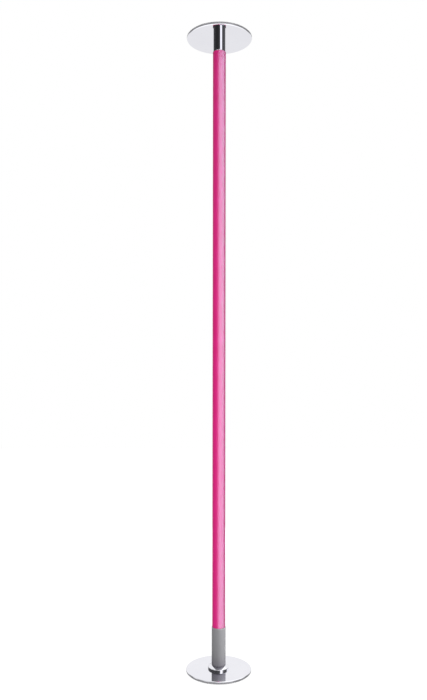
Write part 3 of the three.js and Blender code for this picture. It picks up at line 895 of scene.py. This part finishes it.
def make_guide_bush():
    """The nylon bush on the neck's spigot, with a groove round its middle."""
    foot, top = foot_of("ceiling_neck"), top_of("neck_guide_bush")
    outer = radius_of("neck_guide_bush")
    bore = outer - BUSH_WALL
    groove = outer - BUSH_GROOVE_DEPTH
    middle = (foot + top) / 2
    outline = [
        (bore, foot),
        (outer, foot),
        (outer, middle - BUSH_GROOVE_WIDTH / 2),
        (groove, middle - BUSH_GROOVE_WIDTH / 2),
        (groove, middle + BUSH_GROOVE_WIDTH / 2),
        (outer, middle + BUSH_GROOVE_WIDTH / 2),
        (outer, top),
        (bore, top),
    ]
    piece = turn("neck_guide_bush_turned", outline)
    for height in (foot, top):
        soften(piece, outer, height, BUSH_CHAMFER)
    hand_over(piece, NYLON, "neck_guide", "neck_guide_bush")


# The photograph's camera, as the two plates' ellipses give it. Its picture plane is upright, and the picture
# is shifted down instead.
PHOTO_LONG_SIDE = 700
SENSOR_WIDTH = 36
FOCAL_LENGTH_PIXELS = 708.25
SHIFT_PIXELS = 23.41
CAMERA_PLACE = (-0.02115, -2.72502, 1.14388)
CAMERA_ROLL = 0.00127
CAMERA_REACH = 50


def make_camera():
    lens = bpy.data.cameras.new("photo_camera")
    lens.sensor_width = SENSOR_WIDTH
    lens.lens = FOCAL_LENGTH_PIXELS / PHOTO_LONG_SIDE * SENSOR_WIDTH
    lens.shift_y = SHIFT_PIXELS / PHOTO_LONG_SIDE
    lens.clip_end = CAMERA_REACH
    camera = bpy.data.objects.new("photo_camera", lens)
    bpy.context.scene.collection.objects.link(camera)
    level = Matrix.Rotation(math.pi / 2, 4, "X")
    roll = Matrix.Rotation(CAMERA_ROLL, 4, "Z")
    camera.matrix_world = Matrix.Translation(CAMERA_PLACE) @ level @ roll
    bpy.context.scene.camera = camera


FLOOR_SIZE = 16
FLOOR_DROP = 0.2 * MM
FLOOR_GLOW = 0.93
FLOOR_SEEN = 0.25
FLOOR_BOUNCE = 0.85


def mix_shaders(tree, share, first, second):
    return add_node(tree, "MixShader", {0: share, 1: first, 2: second}).outputs[0]


def grey_diffuse(tree, level):
    return add_node(tree, "BsdfDiffuse", {"Color": (level, level, level, 1)}).outputs[0]


def make_floor():
    """A white floor that glows and keeps the object's shadow. Polished metal mirrors the studio below the
    horizon in its place."""
    deselect()
    bpy.ops.mesh.primitive_plane_add(size=FLOOR_SIZE, location=(0, 0, -FLOOR_DROP))
    floor = bpy.context.object
    floor.name = "studio_floor"
    floor.visible_glossy = False
    floor.visible_shadow = False
    material = bpy.data.materials.new("pale_floor")
    material.use_nodes = True
    tree = material.node_tree
    tree.nodes.clear()
    path = add_node(tree, "LightPath", {})
    seen = calculate(tree, "MAXIMUM", path.outputs["Is Camera Ray"], path.outputs["Is Glossy Ray"])
    seen = calculate(tree, "MAXIMUM", seen, path.outputs["Is Transmission Ray"])
    glow = add_node(tree, "Emission", {"Color": (1, 1, 1, 1), "Strength": FLOOR_GLOW}).outputs[0]
    white = add_node(tree, "AddShader", {0: glow, 1: grey_diffuse(tree, FLOOR_SEEN)}).outputs[0]
    look = mix_shaders(tree, seen, grey_diffuse(tree, FLOOR_BOUNCE), white)
    add_node(tree, "OutputMaterial", {"Surface": look})
    floor.data.materials.append(material)


# The studio that polished pieces mirror, by direction. An azimuth is in degrees from the camera's side and
# positive to the right, and an elevation is in degrees above the horizon. Each list gives a brightness or a
# share at some angles, and runs straight from each to the next.
AROUND = (-180, 180)
ONE_SIDE = (0, 180)
UPWARD = (-90, 90)
WHITE = 1.0
SOFT_LIGHT = 0.38
BACKDROP_ABOVE = 0.955
BACKDROP_BELOW = 0.88
OVERHEAD = 1.25
OVERHEAD_LEFT = 0.75
DARK_SIDE = 0.25

# A pale backdrop, with a bright ceiling that is dimmer to the left
BACKDROP_BY_ELEVATION = [
    (-90, OVERHEAD),
    (-50, OVERHEAD),
    (-35, BACKDROP_BELOW),
    (-5, BACKDROP_BELOW),
    (5, BACKDROP_ABOVE),
    (35, BACKDROP_ABOVE),
]
CEILING_BY_AZIMUTH = [(-180, OVERHEAD), (-130, OVERHEAD_LEFT), (-10, OVERHEAD_LEFT), (20, OVERHEAD)]
CEILING_SHARE = [(-90, 0), (35, 0), (50, 1)]

# Above the horizon stand dark panels, with gaps between them that a plate shows from the usual sides
PANEL_STEP = 45
PANEL_GAP = 6
PANEL_FADE = 8
PANELS_TO_EACH_SIDE = [(0, 1), (129, 1), (133, 0)]
PANELS_BESIDE_SOFTBOX = [(-180, 1), (12, 1), (18, 0), (46, 0), (54, 1)]
PANELS_BY_ELEVATION = [(-90, 0), (9, 0), (14, 1), (34, 1), (38, 0)]

# Round the horizon the camera's side is darker, with one softbox
HORIZON_BY_AZIMUTH = [
    (-180, BACKDROP_BELOW),
    (-134, BACKDROP_BELOW),
    (-122, DARK_SIDE),
    (12, DARK_SIDE),
    (18, 1),
    (46, 1),
    (54, DARK_SIDE),
    (122, DARK_SIDE),
    (134, BACKDROP_BELOW),
]
HORIZON_BY_ELEVATION = [(-90, 0), (-38, 0), (-32, 1), (9, 1), (14, 0)]

# What meets two mirrors: below the horizon by way of the neck and the ceiling plate, above it by way of the
# hub and the floor plate. Both are dark but for one narrow softbox, and the hub's is pale at the far right.
CORNER_LIGHT = 1.3
NECK_CORNER = [
    (-180, 0.1),
    (-121, 0.05),
    (-89, 0.028),
    (-50, 0.018),
    (-22, 0.022),
    (4, 0.045),
    (13, 0.1),
    (18, 1),
    (46, 1),
    (54, 0.22),
    (66, 0.08),
    (84, 0.055),
    (114, 0.09),
    (180, 0.1),
]
HUB_CORNER = [
    (-180, 0.12),
    (-121, 0.07),
    (-89, 0.05),
    (-22, 0.045),
    (4, 0.06),
    (14, 0.1),
    (20, 0.95),
    (40, 0.95),
    (47, 0.2),
    (60, 0.08),
    (84, 0.07),
    (98, 0.1),
    (107, 0.78),
    (180, 0.78),
]
HUB_CORNER_SHARE = [(-90, 0), (0, 0), (5, 1)]

# A ray's depths are whole numbers, so these limits lie half-way between two of them
BEFORE_FIRST_BOUNCE = 0.5
AFTER_FIRST_MIRROR = 1.5


def level_by(tree, angle, limits, stops):
    """A level that changes with an angle, as a list of angles and levels says."""
    lowest, highest = limits
    share = spread(tree, angle, 0, 1, lowest, highest)
    ramp = [((place - lowest) / (highest - lowest), (level, level, level)) for place, level in stops]
    return colour_ramp(tree, share, ramp)


def blend(tree, share, first, second):
    return add_node(tree, "Mix", {0: share, 2: first, 3: second}).outputs[0]


def directions(tree):
    """The azimuth and the elevation of what is looked at, in degrees."""
    seen_at = add_node(tree, "TexCoord", {}).outputs["Generated"]
    x, y, z = add_node(tree, "SeparateXYZ", {0: seen_at}).outputs
    to_degrees = 180 / math.pi
    azimuth = calculate(tree, "ARCTAN2", x, calculate(tree, "MULTIPLY", y, -1))
    azimuth = calculate(tree, "MULTIPLY", azimuth, to_degrees)
    elevation = calculate(tree, "MULTIPLY", calculate(tree, "ARCSINE", z), to_degrees)
    return azimuth, elevation


def dark_panels(tree, azimuth, elevation):
    """Where the dark panels stand, as a share."""
    to_side = calculate(tree, "ABSOLUTE", azimuth)
    from_gap = calculate(tree, "PINGPONG", to_side, PANEL_STEP / 2)
    gaps = [(0, 0), (PANEL_GAP, 0), (PANEL_GAP + PANEL_FADE, 1)]
    panels = level_by(tree, from_gap, (0, PANEL_STEP / 2), gaps)
    for angle, limits, stops in (
        (to_side, ONE_SIDE, PANELS_TO_EACH_SIDE),
        (azimuth, AROUND, PANELS_BESIDE_SOFTBOX),
        (elevation, UPWARD, PANELS_BY_ELEVATION),
    ):
        panels = calculate(tree, "MULTIPLY", panels, level_by(tree, angle, limits, stops))
    return panels


def open_studio(tree, azimuth, elevation):
    """What a polished face mirrors directly."""
    backdrop = level_by(tree, elevation, UPWARD, BACKDROP_BY_ELEVATION)
    ceiling = level_by(tree, azimuth, AROUND, CEILING_BY_AZIMUTH)
    look = blend(tree, level_by(tree, elevation, UPWARD, CEILING_SHARE), backdrop, ceiling)
    look = blend(tree, dark_panels(tree, azimuth, elevation), look, DARK_SIDE)
    horizon = level_by(tree, azimuth, AROUND, HORIZON_BY_AZIMUTH)
    return blend(tree, level_by(tree, elevation, UPWARD, HORIZON_BY_ELEVATION), look, horizon)


def corner_studio(tree, azimuth, elevation):
    """What a polished face mirrors by way of another one."""
    neck = level_by(tree, azimuth, AROUND, NECK_CORNER)
    hub = level_by(tree, azimuth, AROUND, HUB_CORNER)
    look = blend(tree, level_by(tree, elevation, UPWARD, HUB_CORNER_SHARE), neck, hub)
    return calculate(tree, "MULTIPLY", look, CORNER_LIGHT)


def background(tree, strength):
    return add_node(tree, "Background", {"Color": (1, 1, 1, 1), "Strength": strength}).outputs[0]


def make_world():
    """White where it is seen, the studio where polished metal mirrors it, and an even light for the rest."""
    world = bpy.data.worlds.new("studio")
    bpy.context.scene.world = world
    world.use_nodes = True
    tree = world.node_tree
    tree.nodes.clear()
    azimuth, elevation = directions(tree)
    path = add_node(tree, "LightPath", {})
    second_mirror = calculate(tree, "GREATER_THAN", path.outputs["Glossy Depth"], AFTER_FIRST_MIRROR)
    unscattered = calculate(tree, "LESS_THAN", path.outputs["Diffuse Depth"], BEFORE_FIRST_BOUNCE)
    in_metal = calculate(tree, "MULTIPLY", path.outputs["Is Glossy Ray"], unscattered)
    seen = calculate(tree, "MAXIMUM", path.outputs["Is Camera Ray"], path.outputs["Is Transmission Ray"])
    in_one_mirror = background(tree, open_studio(tree, azimuth, elevation))
    in_two_mirrors = background(tree, corner_studio(tree, azimuth, elevation))
    mirrored = mix_shaders(tree, second_mirror, in_one_mirror, in_two_mirrors)
    lit = mix_shaders(tree, in_metal, background(tree, SOFT_LIGHT), mirrored)
    whole = mix_shaders(tree, seen, lit, background(tree, WHITE))
    add_node(tree, "OutputWorld", {"Surface": whole})


def make_lamp(name, azimuth, distance, height, width, tall, power, colour=(1, 1, 1), shine=False, only=None):
    """A soft lamp that faces the pole. One that shines shows only as a highlight, and any other only lights
    colours. The pieces named in only are all that it lights."""
    light = bpy.data.lights.new(name, "AREA")
    light.shape = "RECTANGLE"
    light.size = width
    light.size_y = tall
    light.energy = power
    light.color = colour
    lamp = bpy.data.objects.new(name, light)
    bpy.context.scene.collection.objects.link(lamp)
    around = Matrix.Rotation(math.radians(azimuth), 4, "Z")
    upright = Matrix.Rotation(math.pi / 2, 4, "X")
    lamp.matrix_world = around @ Matrix.Translation((0, -distance, height)) @ upright
    lamp.visible_glossy = shine
    lamp.visible_diffuse = not shine
    lamp.visible_camera = False
    if only:
        lit = bpy.data.collections.new(f"lit_by_{name}")
        for piece in only:
            lit.objects.link(bpy.data.objects[piece])
        lamp.light_linking.receiver_collection = lit


def make_lamps():
    """A lamp before and one behind the pole, the coat's highlight, and the sleeve's lighter right side."""
    make_lamp("front_lamp", azimuth=-3, distance=2.6, height=1.05, width=1.2, tall=1.6, power=37)
    make_lamp("back_lamp", azimuth=180, distance=2.6, height=1.05, width=1.2, tall=1.6, power=30)
    make_lamp("coat_softbox", azimuth=43, distance=3, height=1.5, width=8.2, tall=9.6, power=4200,
              colour=(0.27, 1, 0.87), shine=True, only=[f"{tube}_skin" for tube in TUBES])
    make_lamp("right_lamp", azimuth=80, distance=2, height=0.4, width=1, tall=1, power=38,
              only=["adjuster_sleeve_moulded"])


make_camera()
make_world()
make_floor()
for tube_name in TUBES:
    make_tube(tube_name)
make_plate("base_plate", "base", "hub_screw_1", HUB_SCREW_RADIUS, hub_screw_places())
make_plate("ceiling_plate", "ceiling_mount", "plate_bolt", PLATE_BOLT_RADIUS, [(0, 0)])
make_pad("floor_pad", "base")
make_pad("ceiling_pad", "ceiling_mount")
make_hub()
make_sleeve()
make_screw()
make_nut()
make_nut_pins()
make_ceiling_neck()
make_guide_bush()
finish_inner_nodes()
make_lamps()

bpy.context.scene.view_settings.view_transform = "Standard"
